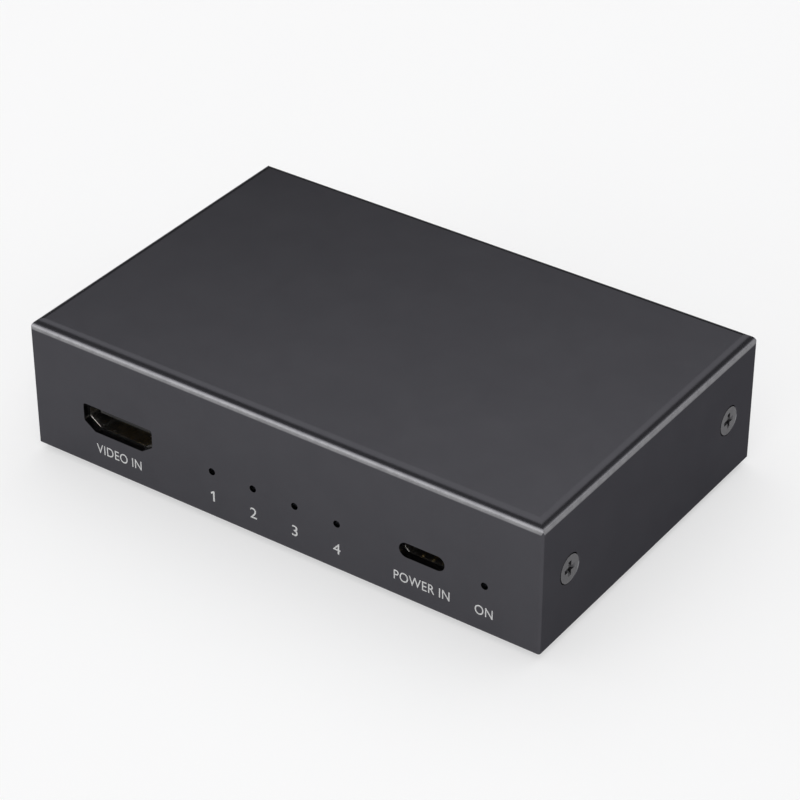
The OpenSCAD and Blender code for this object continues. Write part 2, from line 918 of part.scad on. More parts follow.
module contact_strips(seats, width, start_y, drop_y, foot_z) {
    color(contact_gold)
        for (seat = seats)
            translate([seat[0], 0, 0])
                across_x(width)
                    contact_outline(seat[1], start_y, drop_y, foot_z);
}

// Channels for the contact strips through an insulator's block
module contact_channels(seats, width, start_y, length) {
    for (seat = seats)
        translate([seat[0] - width / 2 - contact_gap, start_y - through, seat[1]])
            cube([width + 2 * contact_gap, length + 2 * through, contact_t]);
}

// Tongue that carries the contacts, with a bevelled tip
module tongue(w, t, start_y, end_y) {
    across_x(w)
        polygon([
            [start_y, tongue_bevel - t / 2],
            [start_y + tongue_bevel, -t / 2],
            [end_y, -t / 2],
            [end_y, t / 2],
            [start_y + tongue_bevel, t / 2],
            [start_y, t / 2 - tongue_bevel]
        ]);
}

module socket_contacts() {
    contact_strips(socket_seats, contact_w, tongue_setback + contact_setback, block_end, socket_foot);
}

module socket_insulator() {
    block_l = block_end - block_start;
    color(insulator_black) {
        tongue(tongue_w, tongue_t, tongue_setback, block_end);
        difference() {
            translate([0, block_start, 0])
                along_y(block_l)
                    socket_outline(-block_gap);
            contact_channels(socket_seats, contact_w, block_start, block_l);
        }
    }
}

// Power inlet, in the same frame as a video socket

module inlet_shell() {
    color(steel)
        difference() {
            union() {
                along_y(inlet_depth)
                    inlet_outline(inlet_shell_t);
                shell_legs(inlet_leg_x, [inlet_leg_front, inlet_leg_rear], inlet_shell_t, 0, inlet_foot);
            }
            translate([0, -through, 0])
                along_y(inlet_depth + 2 * through)
                    inlet_outline(0);
        }
}

module inlet_insulator() {
    block_start_y = inlet_depth - inlet_block_l;
    seat_w = inlet_w - inlet_h;
    color(insulator_black) {
        tongue(inlet_tongue_w, inlet_tongue_t, inlet_tongue_setback, inlet_end);
        difference() {
            union() {
                translate([0, block_start_y, 0])
                    along_y(inlet_end - block_start_y)
                        inlet_outline(-block_gap);
                translate([-seat_w / 2, inlet_leg_front, inlet_foot])
                    cube([seat_w, inlet_end - inlet_leg_front, inlet_seat_h]);
                translate([-seat_w / 2, inlet_depth, inlet_foot])
                    cube([seat_w, block_tail, -inlet_foot]);
            }
            contact_channels(inlet_seats, inlet_contact_w, block_start_y, inlet_end - block_start_y);
        }
    }
}

module inlet_contacts() {
    strip_start = inlet_tongue_setback + contact_setback;
    contact_strips(inlet_seats, inlet_contact_w, strip_start, inlet_end, inlet_foot);
}

// Lights, each with its lens's tip at the origin, shining towards -Y

module led() {
    led_r = led_d / 2;
    body_l = holder_back - led_r;
    lead_z = -led_rise - board_t - leg_below;
    color(lens_clear) {
        translate([0, led_r, 0])
            sphere(led_r);
        translate([0, led_r, 0])
            along_y(body_l)
                circle(led_r);
        translate([0, holder_back, 0])
            along_y(led_flange_t)
                circle(led_flange_d / 2);
        for (side = [-1, 1])
            translate([side * lead_pitch / 2 - lead_t / 2, holder_back, 0]) {
                translate([0, 0, -lead_t / 2])
                    cube([lead_t, lead_y - holder_back, lead_t]);
                translate([0, lead_y - holder_back - lead_t, lead_z])
                    cube([lead_t, lead_t, -lead_z]);
            }
    }
}

module led_holders() {
    color(insulator_black)
        for (x = all_light_xs)
            at_light(x)
                difference() {
                    translate([-holder_w / 2, led_reach, -led_rise])
                        cube([holder_w, holder_l, led_rise + holder_rise]);
                    translate([0, led_reach - through, 0])
                        along_y(holder_l + 2 * through)
                            circle(led_d / 2 + holder_gap);
                }
}

module status_led(i) {
    at_light(light_xs[i - 1])
        led();
}

module power_led() {
    at_light(power_light_x)
        led();
}

// Circuit on the board

// Trapezium on the X axis that narrows upwards
module drafted_outline(w, h) {
    polygon([
        [-w / 2, 0],
        [w / 2, 0],
        [w / 2 - mould_draft, h],
        [mould_draft - w / 2, h]
    ]);
}

// Body of a moulded package, with drafted sides
module moulded_block(w, d, h) {
    intersection() {
        translate([0, -d / 2, 0])
            along_y(d)
                drafted_outline(w, h);
        across_x(w)
            drafted_outline(d, h);
    }
}

module splitter_chip() {
    color(package_black)
        translate([0, chip_y, board_top])
            moulded_block(chip_w, chip_w, chip_t);
}

module thermal_pad() {
    color(pad_grey)
        translate([0, chip_y, board_top + chip_t])
            linear_extrude(pad_t)
                square(pad_w, center = true);
}

module heat_sink() {
    fin_step = (sink_w - fin_t) / (fin_count - 1);
    color(aluminium)
        translate([0, chip_y - sink_w / 2, board_top + chip_t + pad_t])
            along_y(sink_w) {
                translate([-sink_w / 2, 0])
                    square([sink_w, sink_floor]);
                for (i = [0 : fin_count - 1])
                    translate([-sink_w / 2 + i * fin_step, 0])
                        square([fin_t, sink_h]);
            }
}

// Row of bent leads along the front of a package, standing on the plane z = 0
module package_leads(w, l, count, lead_w) {
    pitch = l / count;
    for (i = [0 : count - 1])
        translate([(i + 0.5) * pitch - l / 2, -w / 2, 0])
            across_x(lead_w)
                mirror([1, 0]) {
                    translate([-2 * chip_lead_t, chip_lead_t])
                        square([4 * chip_lead_t, chip_lead_t]);
                    translate([chip_lead_t, 0])
                        square([chip_lead_t, 2 * chip_lead_t]);
                    translate([chip_lead_t, 0])
                        square([chip_lead_l - chip_lead_t, chip_lead_t]);
                }
}

module control_chip() {
    color(package_black)
        translate([input_x, control_y, board_top]) {
            translate([0, 0, chip_lead_t])
                moulded_block(control_l, control_w, control_t - chip_lead_t);
            for (turn = [0, 180])
                rotate(turn)
                    package_leads(control_w, control_l, control_leads, chip_lead_w);
        }
}

module regulator_chip() {
    color(package_black)
        translate([regulator_x, power_row_y, board_top]) {
            translate([0, 0, chip_lead_t])
                moulded_block(regulator_l, regulator_w, regulator_t - chip_lead_t);
            package_leads(regulator_w, regulator_l, regulator_leads, chip_lead_w);
            rotate(180)
                package_leads(regulator_w, regulator_l, 1, regulator_tab_w);
        }
}

module power_inductor() {
    groove_r = inductor_w / 2 - inductor_rim;
    color(package_black)
        translate([inductor_x, power_row_y, board_top])
            difference() {
                linear_extrude(inductor_h)
                    cut_square(inductor_w, inductor_cut, [0 : 90 : 270]);
                translate([0, 0, inductor_h - inductor_groove_h])
                    linear_extrude(inductor_groove_h + through)
                        difference() {
                            circle(groove_r);
                            circle(groove_r - inductor_groove_w);
                        }
            }
}

module clock_crystal() {
    color(aluminium)
        translate([crystal_x, chip_y, board_top]) {
            linear_extrude(crystal_base_h)
                plate_outline(crystal_l, crystal_w, crystal_corner_r);
            linear_extrude(crystal_h)
                plate_outline(crystal_l - 2 * crystal_step, crystal_w - 2 * crystal_step, crystal_corner_r);
        }
}

// Can with a rounded top edge and a groove rolled in above the foot
module can_outline() {
    can_r = can_d / 2;
    difference() {
        union() {
            square([can_r, can_h - can_round]);
            square([can_r - can_round, can_h]);
            translate([can_r - can_round, can_h - can_round])
                circle(can_round);
        }
        translate([can_r, can_foot + can_groove_rise])
            circle(can_groove_r);
    }
}

module bulk_capacitors() {
    color(aluminium)
        for (side = [-1, 1])
            translate([inlet_x + side * can_pitch / 2, can_y, board_top]) {
                linear_extrude(can_foot)
                    cut_square(can_d, can_cut, [180, 270]);
                rotate_extrude()
                    can_outline();
            }
}

module protection_arrays() {
    color(package_black)
        at_all_sockets()
            for (side = [-1, 1])
                translate([side * array_pitch / 2 - array_l / 2, array_y, socket_foot])
                    cube([array_l, array_w, array_t]);
}

module chip_capacitor() {
    body_w = cap_w - 2 * cap_plate;
    cube([cap_l - cap_end, body_w, body_w], center = true);
    for (side = [-1, 1])
        translate([side * (cap_l - cap_end) / 2, 0, 0])
            cube([cap_end, cap_w, cap_w], center = true);
}

module chip_capacitors() {
    color(ceramic_tan)
        for (side = [-1, 1], i = [0 : cap_count - 1])
            translate([side * cap_x, chip_y + (i - (cap_count - 1) / 2) * cap_pitch, board_top + cap_w / 2])
                chip_capacitor();
}

// Sub-parts, drawn one at a time or all together

top_cover();
base_plate();
clinch_nuts();
cover_screws();
feet();
standoffs();
main_board();
board_screws();
at_input() socket_shell();  // video_input_shell
at_input() socket_insulator();  // video_input_insulator
at_input() socket_contacts();  // video_input_contacts
for (i = output_numbers) {
    at_output(i) socket_shell();
    at_output(i) socket_insulator();
    at_output(i) socket_contacts();
}
at_inlet() inlet_shell();  // power_inlet_shell
at_inlet() inlet_insulator();  // power_inlet_insulator
at_inlet() inlet_contacts();  // power_inlet_contacts
for (i = [1 : light_count])
    status_led(i);
power_led();
led_holders();
splitter_chip();
thermal_pad();
heat_sink();
control_chip();
regulator_chip();
power_inductor();
clock_crystal();
bulk_capacitors();
protection_arrays();
chip_capacitors();
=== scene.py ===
import math

import bmesh
import bpy
from mathutils import Matrix, Vector


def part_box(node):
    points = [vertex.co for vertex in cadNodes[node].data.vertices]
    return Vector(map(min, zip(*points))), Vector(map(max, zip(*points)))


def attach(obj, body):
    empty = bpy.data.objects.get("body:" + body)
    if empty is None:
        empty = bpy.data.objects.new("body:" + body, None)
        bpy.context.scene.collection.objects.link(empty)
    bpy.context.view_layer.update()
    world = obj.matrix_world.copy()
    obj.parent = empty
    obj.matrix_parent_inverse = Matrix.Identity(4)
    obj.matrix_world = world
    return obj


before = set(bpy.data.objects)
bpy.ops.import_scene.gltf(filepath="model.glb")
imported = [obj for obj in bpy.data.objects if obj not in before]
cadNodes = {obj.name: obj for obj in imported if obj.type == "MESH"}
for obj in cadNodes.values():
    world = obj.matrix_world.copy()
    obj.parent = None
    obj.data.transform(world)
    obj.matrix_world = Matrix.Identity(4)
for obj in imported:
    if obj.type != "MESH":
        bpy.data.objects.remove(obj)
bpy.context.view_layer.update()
mm = 0.001
print("frame loaded with", len(cadNodes), "pieces")

scene = bpy.context.scene
scene.view_settings.view_transform = "Standard"


# camera, set to the photograph's angle and framing
cameraSettings = {
    "azimuth": 34.96,  # degrees, 0 looks along +Y
    "elevation": 33.92,
    "distance": 481.93 * mm,
    "aim": Vector((1.54, 0, 11.83)) * mm,
    "lens": 130.86,  # mm on the 36 mm sensor
    "nearest": 10 * mm,
}


def directionTo(azimuth, elevation):
    turn, rise = math.radians(azimuth), math.radians(elevation)
    return Vector((math.sin(turn) * math.cos(rise), -math.cos(turn) * math.cos(rise), math.sin(rise)))


def lookAt(thing, target):
    thing.rotation_euler = (target - thing.location).to_track_quat("-Z", "Y").to_euler()


def makeCamera(settings):
    data = bpy.data.cameras.new("photoCamera")
    data.lens = settings["lens"]
    data.clip_start = settings["nearest"]
    camera = bpy.data.objects.new("photoCamera", data)
    away = directionTo(settings["azimuth"], settings["elevation"])
    camera.location = settings["aim"] + away * settings["distance"]
    lookAt(camera, settings["aim"])
    scene.collection.objects.link(camera)
    scene.camera = camera


makeCamera(cameraSettings)
print("camera set")


# node helpers
def addNode(tree, kind, inputs=None, **settings):
    node = tree.nodes.new(kind)
    for name, value in settings.items():
        setattr(node, name, value)
    for socket, value in (inputs or {}).items():
        if isinstance(value, bpy.types.NodeSocket):
            tree.links.new(value, node.inputs[socket])
        else:
            node.inputs[socket].default_value = value
    return node


def mathNode(tree, operation, first, second=0.0, clamp=False):
    node = addNode(tree, "ShaderNodeMath", {0: first, 1: second}, operation=operation, use_clamp=clamp)
    return node.outputs[0]


def mapRange(tree, value, fromLow, fromHigh, toLow, toHigh):
    places = {"Value": value, "From Min": fromLow, "From Max": fromHigh, "To Min": toLow, "To Max": toHigh}
    return addNode(tree, "ShaderNodeMapRange", places).outputs["Result"]


def mixColour(tree, factor, first, second):
    node = addNode(tree, "ShaderNodeMix", data_type="RGBA")
    tree.links.new(factor, node.inputs[0])
    for socket, value in ((node.inputs[6], first), (node.inputs[7], second)):
        if isinstance(value, bpy.types.NodeSocket):
            tree.links.new(value, socket)
        else:
            socket.default_value = (*value, 1)
    return node.outputs[2]


def newGroup(name, inputs, outputs):
    group = bpy.data.node_groups.new(name, "ShaderNodeTree")
    for socketName, default in inputs.items():
        socket = group.interface.new_socket(socketName, in_out="INPUT", socket_type="NodeSocketFloat")
        socket.default_value = default
    for socketName in outputs:
        kind = "NodeSocketVector" if socketName == "Normal" else "NodeSocketFloat"
        group.interface.new_socket(socketName, in_out="OUTPUT", socket_type=kind)
    entry = group.nodes.new("NodeGroupInput").outputs
    leave = group.nodes.new("NodeGroupOutput").inputs
    return group, entry, leave


def useGroup(tree, group, **values):
    inputs = {name[0].upper() + name[1:]: value for name, value in values.items()}
    return addNode(tree, "ShaderNodeGroup", inputs, node_tree=group).outputs


# shared surface effects: where each mask begins and where it is full
effectSettings = {
    "speck": (0.56, 0.72),  # height of the grain
    "marks": (0.3, 0.7),  # height of the noise, as for the patches
    "wornEdge": (0.995, 0.86),  # agreement of the rounded and the plain normal
    "wornPatch": (0.35, 0.62),
    "foldBegin": (0.01, 0.13),  # upward part of the normal
    "foldEnd": (0.3, 0.6),
    "foldPatch": (0.3, 0.6),
    "slant": (0.2, 0.3),  # product of the normal's X and Z
}


def makeFineGrain():
    group, entry, leave = newGroup("fineGrain", {"Scale": 3000, "Softness": 0.5}, ["Height", "Speck"])
    place = addNode(group, "ShaderNodeTexCoord").outputs["Object"]
    noise = addNode(group, "ShaderNodeTexNoise", {"Vector": place, "Scale": entry["Scale"],
                                                  "Detail": 3.0, "Roughness": entry["Softness"]})
    group.links.new(noise.outputs[0], leave["Height"])
    group.links.new(mapRange(group, noise.outputs[0], *effectSettings["speck"], 0, 1), leave["Speck"])
    return group


def makeSoftMarks():
    group, entry, leave = newGroup("softMarks", {"Scale": 60, "Low": 0, "High": 1}, ["Value"])
    place = addNode(group, "ShaderNodeTexCoord").outputs["Object"]
    noise = addNode(group, "ShaderNodeTexNoise", {"Vector": place, "Scale": entry["Scale"],
                                                  "Detail": 4.0, "Roughness": 0.55, "Distortion": 0.4})
    value = mapRange(group, noise.outputs[0], *effectSettings["marks"], entry["Low"], entry["High"])
    group.links.new(value, leave["Value"])
    return group


def makeEdgeWear():
    group, entry, leave = newGroup("edgeWear", {"Width": 0.4 * mm, "Scale": 900}, ["Mask"])
    rounded = addNode(group, "ShaderNodeBevel", {"Radius": entry["Width"]}, samples=6).outputs[0]
    flat = addNode(group, "ShaderNodeNewGeometry").outputs["Normal"]
    agree = addNode(group, "ShaderNodeVectorMath", {0: rounded, 1: flat}, operation="DOT_PRODUCT")
    edge = mapRange(group, agree.outputs["Value"], *effectSettings["wornEdge"], 0, 1)
    place = addNode(group, "ShaderNodeTexCoord").outputs["Object"]
    noise = addNode(group, "ShaderNodeTexNoise", {"Vector": place, "Scale": entry["Scale"], "Detail": 4.0})
    broken = mapRange(group, noise.outputs[0], *effectSettings["wornPatch"], 0.15, 1)
    group.links.new(mathNode(group, "MULTIPLY", edge, broken, clamp=True), leave["Mask"])
    return group


def makeFoldHighlight():
    # a mask along the lower half of the sheet's folds, broken by noise, for a painted highlight band
    group, entry, leave = newGroup("foldHighlight", {"Scale": 500}, ["Mask"])
    coordinates = addNode(group, "ShaderNodeTexCoord").outputs
    slope = addNode(group, "ShaderNodeSeparateXYZ", {0: coordinates["Normal"]}).outputs["Z"]
    begin = mapRange(group, slope, *effectSettings["foldBegin"], 0, 1)
    end = mapRange(group, slope, *effectSettings["foldEnd"], 1, 0)
    fold = mathNode(group, "MULTIPLY", begin, end)
    noise = addNode(group, "ShaderNodeTexNoise", {"Vector": coordinates["Object"],
                                                  "Scale": entry["Scale"], "Detail": 5.0})
    broken = mapRange(group, noise.outputs[0], *effectSettings["foldPatch"], 0.75, 1)
    group.links.new(mathNode(group, "MULTIPLY", fold, broken, clamp=True), leave["Mask"])
    return group


def makeSoftEdges():
    # edges rounded in the shading, or with LeadIn at 1 only those of slanted walls, which guide a plug
    group, entry, leave = newGroup("softEdges", {"Radius": 0.1 * mm, "LeadIn": 0}, ["Normal"])
    rounded = addNode(group, "ShaderNodeBevel", {"Radius": entry["Radius"]}, samples=8).outputs[0]
    facing = addNode(group, "ShaderNodeTexCoord").outputs["Normal"]
    parts = addNode(group, "ShaderNodeSeparateXYZ", {0: facing}).outputs
    slant = mathNode(group, "ABSOLUTE", mathNode(group, "MULTIPLY", parts["X"], parts["Z"]))
    elsewhere = mathNode(group, "SUBTRACT", 1.0, entry["LeadIn"])
    share = mapRange(group, slant, *effectSettings["slant"], elsewhere, 1)
    flat = addNode(group, "ShaderNodeNewGeometry").outputs["Normal"]
    mix = addNode(group, "ShaderNodeMix", {0: share, 4: flat, 5: rounded}, data_type="VECTOR")
    group.links.new(mix.outputs[1], leave["Normal"])
    return group


def makeDrawnLines():
    # fine parallel lines left by rolling or drawing, along X
    group, entry, leave = newGroup("drawnLines", {"Scale": 4000, "Stretch": 0.04}, ["Line"])
    place = addNode(group, "ShaderNodeTexCoord").outputs["Object"]
    squeeze = addNode(group, "ShaderNodeCombineXYZ", {"X": entry["Stretch"], "Y": 1.0, "Z": 1.0}).outputs[0]
    along = addNode(group, "ShaderNodeVectorMath", {0: place, 1: squeeze}, operation="MULTIPLY").outputs[0]
    noise = addNode(group, "ShaderNodeTexNoise", {"Vector": along, "Scale": entry["Scale"], "Detail": 2.0})
    group.links.new(noise.outputs[0], leave["Line"])
    return group


fineGrain = makeFineGrain()
softMarks = makeSoftMarks()
edgeWear = makeEdgeWear()
foldHighlight = makeFoldHighlight()
softEdges = makeSoftEdges()
drawnLines = makeDrawnLines()
print("surface effects built")


def newFinish(name):
    material = bpy.data.materials.new(name)
    material.use_nodes = True
    tree = material.node_tree
    shader = tree.nodes["Principled BSDF"]
    return material, tree, shader


def addBump(tree, shader, height, strength, distance, normal=None):
    bump = addNode(tree, "ShaderNodeBump", {"Height": height, "Strength": strength, "Distance": distance})
    if normal:
        tree.links.new(normal, bump.inputs["Normal"])
    tree.links.new(bump.outputs[0], shader.inputs["Normal"])


# satin coat of the cover and base
casePaintSettings = {
    "colour": (0.0695, 0.0685, 0.0765),
    "paleColour": (0.079, 0.078, 0.0865),
    "rubbedColour": (0.098, 0.097, 0.104),
    # painted highlight: pale colour laid along the lower half of the folds
    "paintedFoldHighlight": (0.25, 0.248, 0.258),
    "edgeTint": (0.4, 0.4, 0.4, 1),
    "smooth": 0.22,
    "rough": 0.27,
    "metal": 1.0,
    "marksScale": 45.0,
    "toneScale": 160.0,
    "toneShare": 0.5,
    "wearWidth": 0.35 * mm,
    "wearScale": 1400.0,
    "wearShare": 0.25,
    "foldHighlightScale": 700.0,
    "grainScale": 3200,
    "grainSoftness": 0.6,
    "grainStrength": 0.5,
    "grainDepth": 0.004 * mm,
}


def makeCasePaint(settings):
    material, tree, shader = newFinish("casePaint")
    grain = useGroup(tree, fineGrain, scale=settings["grainScale"], softness=settings["grainSoftness"])
    marks = useGroup(tree, softMarks, scale=settings["marksScale"], low=settings["smooth"], high=settings["rough"])
    tone = useGroup(tree, softMarks, scale=settings["toneScale"], low=0.0, high=settings["toneShare"])
    worn = useGroup(tree, edgeWear, width=settings["wearWidth"], scale=settings["wearScale"])
    # mask of the painted highlight along the folds
    wearAndFoldHighlight = useGroup(tree, foldHighlight, scale=settings["foldHighlightScale"])
    ground = mixColour(tree, tone["Value"], settings["colour"], settings["paleColour"])
    speckled = mixColour(tree, grain["Speck"], ground, settings["paleColour"])
    share = mathNode(tree, "MULTIPLY", worn["Mask"], settings["wearShare"])
    edged = mixColour(tree, share, speckled, settings["rubbedColour"])
    # the folds take the pale colour, a painted highlight band
    tree.links.new(mixColour(tree, wearAndFoldHighlight["Mask"], edged, settings["paintedFoldHighlight"]), shader.inputs["Base Color"])
    tree.links.new(marks["Value"], shader.inputs["Roughness"])
    shader.inputs["Metallic"].default_value = settings["metal"]
    shader.inputs["Specular Tint"].default_value = settings["edgeTint"]
    addBump(tree, shader, grain["Height"], settings["grainStrength"], settings["grainDepth"])
    return material


# plated and bare metals: colours, roughness range, scale and depth of the lines, rounding of the edges
metalSettings = {
    "screwSteel": {"colour": (0.103, 0.101, 0.107), "wearAndFoldHighlight": (0.175, 0.173, 0.179),
                   "smooth": 0.42, "rough": 0.55, "lineScale": 5200, "lineDepth": 0.004 * mm,
                   "rounding": 0.06 * mm},
    "zincPlate": {"colour": (0.5, 0.5, 0.51), "wearAndFoldHighlight": (0.62, 0.62, 0.62),
                  "smooth": 0.25, "rough": 0.38, "lineScale": 4200, "lineDepth": 0.003 * mm,
                  "rounding": 0.08 * mm},
    "nickelPlate": {"colour": (0.62, 0.6, 0.56), "wearAndFoldHighlight": (0.76, 0.74, 0.7),
                    "smooth": 0.18, "rough": 0.3, "lineScale": 6000, "lineDepth": 0.002 * mm,
                    "rounding": 0.22 * mm, "leadIn": 1.0},
    "giltPlate": {"colour": (0.8, 0.56, 0.2), "wearAndFoldHighlight": (0.9, 0.72, 0.38),
                  "smooth": 0.16, "rough": 0.26, "lineScale": 7000, "lineDepth": 0.001 * mm,
                  "rounding": 0.04 * mm},
    "drawnAluminium": {"colour": (0.66, 0.67, 0.68), "wearAndFoldHighlight": (0.8, 0.8, 0.8),
                       "smooth": 0.3, "rough": 0.44, "lineScale": 3600, "lineDepth": 0.004 * mm,
                       "rounding": 0.08 * mm},
}


# the same on all metals
metalSurface = {"lineStretch": 0.05, "lineShare": 0.3, "lineStrength": 0.4, "marksScale": 350.0,
                "wearWidth": 0.12 * mm, "wearScale": 2600.0, "leadIn": 0.0}


def makeMetal(name):
    settings = {**metalSurface, **metalSettings[name]}
    material, tree, shader = newFinish(name)
    lines = useGroup(tree, drawnLines, scale=settings["lineScale"], stretch=settings["lineStretch"])
    marks = useGroup(tree, softMarks, scale=settings["marksScale"], low=settings["smooth"], high=settings["rough"])
    worn = useGroup(tree, edgeWear, width=settings["wearWidth"], scale=settings["wearScale"])
    lined = mathNode(tree, "MULTIPLY", lines["Line"], settings["lineShare"])
    ground = mixColour(tree, lined, settings["colour"], settings["wearAndFoldHighlight"])
    tree.links.new(mixColour(tree, worn["Mask"], ground, settings["wearAndFoldHighlight"]), shader.inputs["Base Color"])
    tree.links.new(marks["Value"], shader.inputs["Roughness"])
    shader.inputs["Metallic"].default_value = 1.0
    edges = useGroup(tree, softEdges, radius=settings["rounding"], leadIn=settings["leadIn"])
    addBump(tree, shader, lines["Line"], settings["lineStrength"], settings["lineDepth"], edges["Normal"])
    return material


# moulded, pressed and fired finishes
mouldedSettings = {
    "blackPlastic": {"colour": (0.008, 0.008, 0.0085), "pale": (0.016, 0.016, 0.017),
                     "smooth": 0.38, "rough": 0.52, "grainScale": 4200, "grainDepth": 0.006 * mm},
    "footRubber": {"colour": (0.012, 0.012, 0.012), "pale": (0.03, 0.03, 0.03),
                   "smooth": 0.7, "rough": 0.88, "grainScale": 2600, "grainDepth": 0.02 * mm},
    "chipEpoxy": {"colour": (0.011, 0.011, 0.012), "pale": (0.026, 0.026, 0.027),
                  "smooth": 0.5, "rough": 0.62, "grainScale": 5200, "grainDepth": 0.008 * mm},
    "padSilicone": {"colour": (0.26, 0.28, 0.33), "pale": (0.34, 0.36, 0.41),
                    "smooth": 0.6, "rough": 0.75, "grainScale": 1500, "grainDepth": 0.01 * mm},
    "tanCeramic": {"colour": (0.36, 0.22, 0.1), "pale": (0.47, 0.31, 0.16),
                   "smooth": 0.45, "rough": 0.6, "grainScale": 6000, "grainDepth": 0.004 * mm},
    "lensResin": {"colour": (0.5, 0.53, 0.55), "pale": (0.62, 0.66, 0.68),
                  "smooth": 0.1, "rough": 0.2, "grainScale": 1800, "grainDepth": 0.002 * mm},
    "labelInk": {"colour": (0.5, 0.5, 0.5), "pale": (0.58, 0.58, 0.58),
                 "smooth": 0.45, "rough": 0.6, "grainScale": 5200, "grainDepth": 0.003 * mm},
}


# the same on all moulded pieces
mouldedSurface = {"grainSoftness": 0.55, "grainStrength": 0.5, "speckShare": 0.5, "marksScale": 220.0,
                  "wearWidth": 0.15 * mm, "wearScale": 2200.0}


def makeMoulded(name):
    settings = {**mouldedSurface, **mouldedSettings[name]}
    material, tree, shader = newFinish(name)
    grain = useGroup(tree, fineGrain, scale=settings["grainScale"], softness=settings["grainSoftness"])
    marks = useGroup(tree, softMarks, scale=settings["marksScale"], low=settings["smooth"], high=settings["rough"])
    worn = useGroup(tree, edgeWear, width=settings["wearWidth"], scale=settings["wearScale"])
    specks = mathNode(tree, "MULTIPLY", grain["Speck"], settings["speckShare"])
    tint = mathNode(tree, "MAXIMUM", specks, worn["Mask"])
    tree.links.new(mixColour(tree, tint, settings["colour"], settings["pale"]), shader.inputs["Base Color"])
    tree.links.new(marks["Value"], shader.inputs["Roughness"])
    addBump(tree, shader, grain["Height"], settings["grainStrength"], settings["grainDepth"])
    return material


# green resist over glass cloth
boardSettings = {
    "colour": (0.006, 0.062, 0.03),
    "threadColour": (0.012, 0.088, 0.045),
    "threads": 900,
    "smooth": 0.22,
    "rough": 0.34,
    "marksScale": 90.0,
    "weaveStrength": 0.4,
    "weaveDepth": 0.008 * mm,
}


def makeBoardLaminate(settings):
    material, tree, shader = newFinish("boardLaminate")
    place = addNode(tree, "ShaderNodeTexCoord").outputs["Object"]
    bands = [addNode(tree, "ShaderNodeTexWave", {"Vector": place, "Scale": settings["threads"]},
                     bands_direction=axis).outputs["Fac"] for axis in "XY"]
    weave = mathNode(tree, "MAXIMUM", *bands)
    tree.links.new(mixColour(tree, weave, settings["colour"], settings["threadColour"]), shader.inputs["Base Color"])
    marks = useGroup(tree, softMarks, scale=settings["marksScale"], low=settings["smooth"], high=settings["rough"])
    tree.links.new(marks["Value"], shader.inputs["Roughness"])
    addBump(tree, shader, weave, settings["weaveStrength"], settings["weaveDepth"])
    return material


finishes = {
    "case_paint": makeCasePaint(casePaintSettings),
    "screw_steel": makeMetal("screwSteel"),
    "zinc_steel": makeMetal("zincPlate"),
    "socket_nickel": makeMetal("nickelPlate"),
    "contact_gilt": makeMetal("giltPlate"),
    "bare_aluminium": makeMetal("drawnAluminium"),
    "black_plastic": makeMoulded("blackPlastic"),
    "foot_rubber": makeMoulded("footRubber"),
    "chip_package": makeMoulded("chipEpoxy"),
    "pad_silicone": makeMoulded("padSilicone"),
    "tan_ceramic": makeMoulded("tanCeramic"),
    "lens_resin": makeMoulded("lensResin"),
    "board_laminate": makeBoardLaminate(boardSettings),
}
labelInk = makeMoulded("labelInk")

for node in cadNodes.values():
    slotName = node.data.materials[0].name
    node.data.materials[0] = finishes[slotName]
print("finishes put on", len(cadNodes), "pieces")


# printed labels on the front, each centred under the piece that it names
labelSettings = {
    "wordHeight": 1.75 * mm,  # of a capital letter
    "numberHeight": 2.0 * mm,
    "wordSqueeze": 0.85,
    "numberSqueeze": 1.04,
    "seamGap": 0.0001,  # in font units, merged between a letter's faces and sides
    "baseline": 2.9 * mm,  # above the cover's lower edge
    "inkDepth": 0.02 * mm,
    "letterGap": 1.05,
    # outline of the figure one with its flag, in heights of a capital
    "oneOutline": ((0.02, 0.0), (0.175, 0.0), (0.175, 1.0), (0.06, 1.0), (-0.22, 0.8), (-0.15, 0.68), (0.02, 0.79)),
    "words": {
        "video_input_shell": "VIDEO IN",
        "status_led_1": "1",
        "status_led_2": "2",
        "status_led_3": "3",
        "status_led_4": "4",
        "power_inlet_shell": "POWER IN",
        "power_led": "ON",
    },
}


def letterMesh(settings, words):
    data = bpy.data.curves.new("label", "FONT")
    data.body = words
    data.align_x = "CENTER"
    data.space_character = settings["letterGap"]
    data.extrude = 0.5  # to each side, so one unit deep before it is scaled
    text = bpy.data.objects.new("label", data)
    scene.collection.objects.link(text)
    mesh = bpy.data.meshes.new_from_object(text.evaluated_get(bpy.context.evaluated_depsgraph_get()))
    bpy.data.objects.remove(text)
    build = bmesh.new()
    build.from_mesh(mesh)
    bmesh.ops.remove_doubles(build, verts=build.verts, dist=settings["seamGap"])
    bmesh.ops.recalc_face_normals(build, faces=build.faces)
    build.to_mesh(mesh)
    build.free()
    mesh.shade_flat()
    return mesh


def oneMesh(settings, capital):
    build = bmesh.new()
    corners = [build.verts.new((x * capital, y * capital, -0.5)) for x, y in settings["oneOutline"]]
    face = build.faces.new(corners)
    grown = bmesh.ops.extrude_face_region(build, geom=[face])["geom"]
    raised = [item for item in grown if isinstance(item, bmesh.types.BMVert)]
    bmesh.ops.translate(build, verts=raised, vec=(0, 0, 1))
    bmesh.ops.recalc_face_normals(build, faces=build.faces)
    mesh = bpy.data.meshes.new("label")
    build.to_mesh(mesh)
    build.free()
    return mesh


